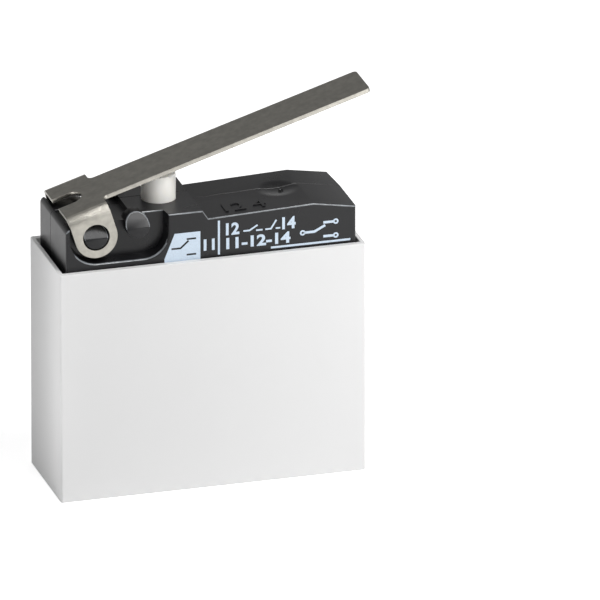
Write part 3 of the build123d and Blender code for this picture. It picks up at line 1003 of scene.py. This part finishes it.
class OBJECT_OT_contact_block_marks(bpy.types.Operator):
    """Adds the moulded numbers and the gate mark on top of the body"""

    bl_idname = "object.contact_block_marks"
    bl_label = "Moulded Marks"

    def execute(self, context):
        sizes = context.scene.contact_block_sizes
        relief = sizes.number_relief
        sunk = 0.01 * MM
        row_y = -1.9 * MM
        height = 1.3 * MM
        pieces = []
        for digit, x, width in (
            ("1", 1.3 * MM, 0.2 * MM),
            ("2", 2.2 * MM, 0.8 * MM),
            ("4", 3.6 * MM, 0.85 * MM),
        ):
            place, normal = top_at("case_moulding", x, row_y)
            left, low = -0.5 * width, -0.5 * height
            piece = numeral("moulded_number", digit, left, low, width, height, relief, 0)
            piece.rotation_euler = Vector((0, 0, 1)).rotation_difference(normal).to_euler()
            piece.location = place + normal * (0.5 * relief - sunk)
            bpy.ops.object.transform_apply(location=True, rotation=True, scale=True)
            pieces.append(piece)
        nub_radius = 0.2 * MM
        nub_height = 0.12 * MM
        nub_taper = 0.8
        nub_rim = 0.05 * MM
        nub_hollow = (0.02 * MM, -0.01 * MM, -0.07 * MM)
        place = top_at("case_moulding", 5.67 * MM, -0.02 * MM)[0]
        bpy.ops.mesh.primitive_cylinder_add(
            vertices=14, radius=nub_radius, depth=nub_height, location=place
        )
        nub = bpy.context.active_object
        bpy.ops.object.transform_apply(location=True, rotation=True, scale=True)
        bpy.ops.object.mode_set(mode="EDIT")
        bpy.ops.mesh.select_mode(type="FACE")
        bpy.ops.mesh.select_all(action="DESELECT")
        shape = bmesh.from_edit_mesh(nub.data)
        for face in shape.faces:
            face.select_set(face.normal.z > FACING)
        bmesh.update_edit_mesh(nub.data)
        bpy.ops.transform.resize(value=(nub_taper, nub_taper, 1))
        bpy.ops.mesh.inset(thickness=nub_rim)
        bpy.ops.transform.translate(value=nub_hollow)
        bpy.ops.object.mode_set(mode="OBJECT")
        pieces.append(nub)
        piece = joined("moulded_marks", pieces)
        piece.data.materials.append(bpy.data.materials["nylon_spark_eroded_black"])
        finish_piece(piece, "housing", "black_moulding")
        return {"FINISHED"}


class OBJECT_OT_contact_block_inside(bpy.types.Operator):
    """Gives the hidden metal pieces their finishes"""

    bl_idname = "object.contact_block_inside"
    bl_label = "Inside Pieces"

    def execute(self, context):
        colours = context.scene.contact_block_colours
        brass = strip_metal("brass_rolled", colours.brass, roughness=0.3, line_pitch=0.08 * MM)
        bronze = strip_metal("bronze_spring_temper", colours.bronze, roughness=0.34, line_pitch=0.06 * MM)
        silver = strip_metal("silver_alloy_riveted", colours.silver, roughness=0.38, line_pitch=0.2 * MM)
        wire = strip_metal("steel_wire_drawn", colours.wire, roughness=0.3, line_pitch=0.03 * MM)
        finishes = {
            "common_terminal": brass,
            "make_terminal": brass,
            "break_terminal": brass,
            "contact_arm": bronze,
            "rocker": bronze,
            "make_contact": silver,
            "break_contact": silver,
            "moving_contact": silver,
        }
        for name, material in finishes.items():
            nodes[name].material_slots[0].material = material
        spring = merged_copy("snap_spring", "throw_spring", wire)
        finish_piece(spring, "swing_arm", "spring_wire", "snap_spring")
        return {"FINISHED"}


def any_seen_ray(tree):
    """One for rays straight from the camera or through glass, and a little less for mirrored ones."""
    mirrored_share = 0.6
    rays = add_node(tree, "ShaderNodeLightPath", {}, {}).outputs
    straight = add_node(
        tree,
        "ShaderNodeMath",
        {"operation": "MAXIMUM"},
        {0: rays["Is Camera Ray"], 1: rays["Is Transmission Ray"]},
    )
    mirrored = add_node(
        tree, "ShaderNodeMath", {"operation": "MULTIPLY"}, {0: rays["Is Glossy Ray"], 1: mirrored_share}
    )
    return add_node(tree, "ShaderNodeMath", {"operation": "MAXIMUM"}, {0: straight, 1: mirrored})


def paper_matt_white(colour):
    """Matt white paper that glows for the camera and in mirrors, so that it shows white."""
    own_glow = 0.62
    material, tree = new_material("paper_matt_white")[:2]
    glow = add_node(
        tree, "ShaderNodeMath", {"operation": "MULTIPLY"}, {0: any_seen_ray(tree), 1: own_glow}
    )
    shader = add_node(
        tree,
        "ShaderNodeBsdfPrincipled",
        {},
        {
            "Base Color": linear(colour),
            "Roughness": 0.9,
            "Specular IOR Level": 0.1,
            "Emission Color": (1, 1, 1, 1),
            "Emission Strength": glow,
        },
    )
    add_node(tree, "ShaderNodeOutputMaterial", {}, {"Surface": shader})
    return material


def soft_room(stage):
    """A studio room: pale walls and ceiling for the camera, and soft light on the part, more of it
    from behind, where no lamp stands."""
    wall_low, wall_high = sin(radians(8)), sin(radians(25))
    ceiling_low, ceiling_high = sin(radians(42)), sin(radians(56))
    overhead_share = 0.7
    behind_turn = radians(8)
    behind_start = 0.45
    world = bpy.data.worlds.new("soft_room")
    world.use_nodes = True
    tree = world.node_tree
    tree.nodes.clear()
    direction = add_node(tree, "ShaderNodeTexCoord", {}, {}).outputs["Generated"]
    axes = add_node(tree, "ShaderNodeSeparateXYZ", {}, {"Vector": direction}).outputs

    # What the camera sees: white near the floor, grey higher up and white again overhead
    low_wall = add_node(
        tree,
        "ShaderNodeMapRange",
        {"interpolation_type": "SMOOTHSTEP"},
        {"Value": axes["Z"], "From Min": wall_low, "From Max": wall_high, "To Min": 1.0, "To Max": 0.2},
    )
    ceiling = add_node(
        tree,
        "ShaderNodeMapRange",
        {"interpolation_type": "SMOOTHSTEP"},
        {"Value": axes["Z"], "From Min": ceiling_low, "From Max": ceiling_high, "To Max": 0.8},
    )
    seen_level = add_node(tree, "ShaderNodeMath", {"operation": "ADD"}, {0: low_wall, 1: ceiling})

    # What lights the part: an even level from all round, and more from behind for matt surfaces
    even_level = add_node(
        tree,
        "ShaderNodeMapRange",
        {},
        {"Value": axes["Z"], "To Min": stage.sky_level, "To Max": stage.sky_level * overhead_share},
    )
    to_right = add_node(
        tree, "ShaderNodeMath", {"operation": "MULTIPLY"}, {0: axes["X"], 1: sin(behind_turn)}
    )
    to_back = add_node(
        tree, "ShaderNodeMath", {"operation": "MULTIPLY"}, {0: axes["Y"], 1: cos(behind_turn)}
    )
    backwards = add_node(tree, "ShaderNodeMath", {"operation": "ADD"}, {0: to_right, 1: to_back})
    behind = add_node(
        tree,
        "ShaderNodeMapRange",
        {},
        {"Value": backwards, "From Min": behind_start, "To Min": 0, "To Max": stage.back_level},
    )
    diffuse_ray = add_node(tree, "ShaderNodeLightPath", {}, {}).outputs["Is Diffuse Ray"]
    back_level = add_node(
        tree, "ShaderNodeMath", {"operation": "MULTIPLY"}, {0: behind, 1: diffuse_ray}
    )
    room_level = add_node(tree, "ShaderNodeMath", {"operation": "ADD"}, {0: even_level, 1: back_level})

    level = add_node(
        tree,
        "ShaderNodeMix",
        {"data_type": "FLOAT"},
        {"Factor": any_seen_ray(tree), "A": room_level, "B": seen_level},
    )
    sky = add_node(tree, "ShaderNodeBackground", {}, {"Color": (1, 1, 1, 1), "Strength": level})
    add_node(tree, "ShaderNodeOutputWorld", {}, {"Surface": sky})
    return world


def soft_box(name, place, look, width, height, power):
    """Adds a lamp that shines from a lit rectangle along a direction, unseen by the camera."""
    bpy.ops.object.light_add(type="AREA", location=place)
    lamp = bpy.context.active_object
    lamp.name = name
    lamp.rotation_euler = look.to_track_quat("-Z", "Y").to_euler()
    lamp.visible_camera = False
    lamp.data.shape = "RECTANGLE"
    lamp.data.size = width
    lamp.data.size_y = height
    lamp.data.energy = power


class OBJECT_OT_contact_block_stage(bpy.types.Operator):
    """Makes the floor, the light and the camera"""

    bl_idname = "object.contact_block_stage"
    bl_label = "Stage"

    def execute(self, context):
        stage = context.scene.contact_block_stage
        colours = context.scene.contact_block_colours
        bpy.ops.mesh.primitive_circle_add(vertices=96, radius=6, fill_type="NGON", location=(0, 0, 0))
        floor = context.active_object
        floor.name = "paper_floor"
        floor.data.materials.append(paper_matt_white(colours.paper))
        context.scene.world = soft_room(stage)

        lit_middle = Vector((0, 0, 0.6 * rim_z))
        for name, turn, rise, distance, width, power in (
            ("key_soft_box", 47, 15, stage.key_distance, stage.key_distance, stage.key_power),
            ("top_soft_box", 30, 54, 0.2, 0.118, stage.top_power),
            ("top_soft_box_core", 36, 62, 0.2, 0.062, 0.7 * stage.top_power),
        ):
            across, up = radians(turn), radians(rise)
            towards = Vector((sin(across) * cos(up), -cos(across) * cos(up), sin(up)))
            soft_box(name, lit_middle + towards * distance, -towards, width, width, power)
        # Close to the sleeve's left end, so that the end fades from front to back as in the photo
        strip_place = Vector((-14.5, -4.2, 17)) * MM
        soft_box("left_strip_box", strip_place, Vector((4, 3, 0)), 2 * MM, 30 * MM, stage.strip_power)

        bpy.ops.object.camera_add(location=stage.camera_place)
        camera = context.active_object
        camera.name = "photo_camera"
        look = Vector(stage.camera_target) - Vector(stage.camera_place)
        camera.rotation_euler = look.to_track_quat("-Z", "Y").to_euler()
        camera.data.lens = stage.lens
        camera.data.sensor_width = 36
        camera.data.clip_start = 0.1
        camera.data.clip_end = 20
        context.scene.camera = camera
        context.scene.view_settings.view_transform = "Standard"
        return {"FINISHED"}


class VIEW3D_PT_contact_block(bpy.types.Panel):
    """Lists the sizes, the colours, the stage and the building steps"""

    bl_label = "Contact Block"
    bl_idname = "VIEW3D_PT_contact_block"
    bl_space_type = "VIEW_3D"
    bl_region_type = "UI"
    bl_category = "Contact Block"

    def draw(self, context):
        for group in (
            context.scene.contact_block_sizes,
            context.scene.contact_block_colours,
            context.scene.contact_block_stage,
        ):
            box = self.layout.box()
            for name in group.__annotations__:
                box.prop(group, name)
        for operator in operators:
            self.layout.operator(operator.bl_idname)


property_groups = (ContactBlockSizes, ContactBlockColours, ContactBlockStage)
operators = (
    OBJECT_OT_contact_block_stage,
    OBJECT_OT_contact_block_sleeve,
    OBJECT_OT_contact_block_body,
    OBJECT_OT_contact_block_lever,
    OBJECT_OT_contact_block_plunger,
    OBJECT_OT_contact_block_print,
    OBJECT_OT_contact_block_marks,
    OBJECT_OT_contact_block_inside,
)


def register():
    for group in (*property_groups, *operators, VIEW3D_PT_contact_block):
        bpy.utils.register_class(group)
    bpy.types.Scene.contact_block_sizes = PointerProperty(type=ContactBlockSizes)
    bpy.types.Scene.contact_block_colours = PointerProperty(type=ContactBlockColours)
    bpy.types.Scene.contact_block_stage = PointerProperty(type=ContactBlockStage)


def unregister():
    del bpy.types.Scene.contact_block_sizes
    del bpy.types.Scene.contact_block_colours
    del bpy.types.Scene.contact_block_stage
    for group in reversed((*property_groups, *operators, VIEW3D_PT_contact_block)):
        bpy.utils.unregister_class(group)


def main():
    register()
    bpy.ops.object.contact_block_stage()
    bpy.ops.object.contact_block_sleeve()
    bpy.ops.object.contact_block_body()
    bpy.ops.object.contact_block_lever()
    bpy.ops.object.contact_block_plunger()
    bpy.ops.object.contact_block_print()
    bpy.ops.object.contact_block_marks()
    bpy.ops.object.contact_block_inside()


if __name__ == "__main__":
    main()
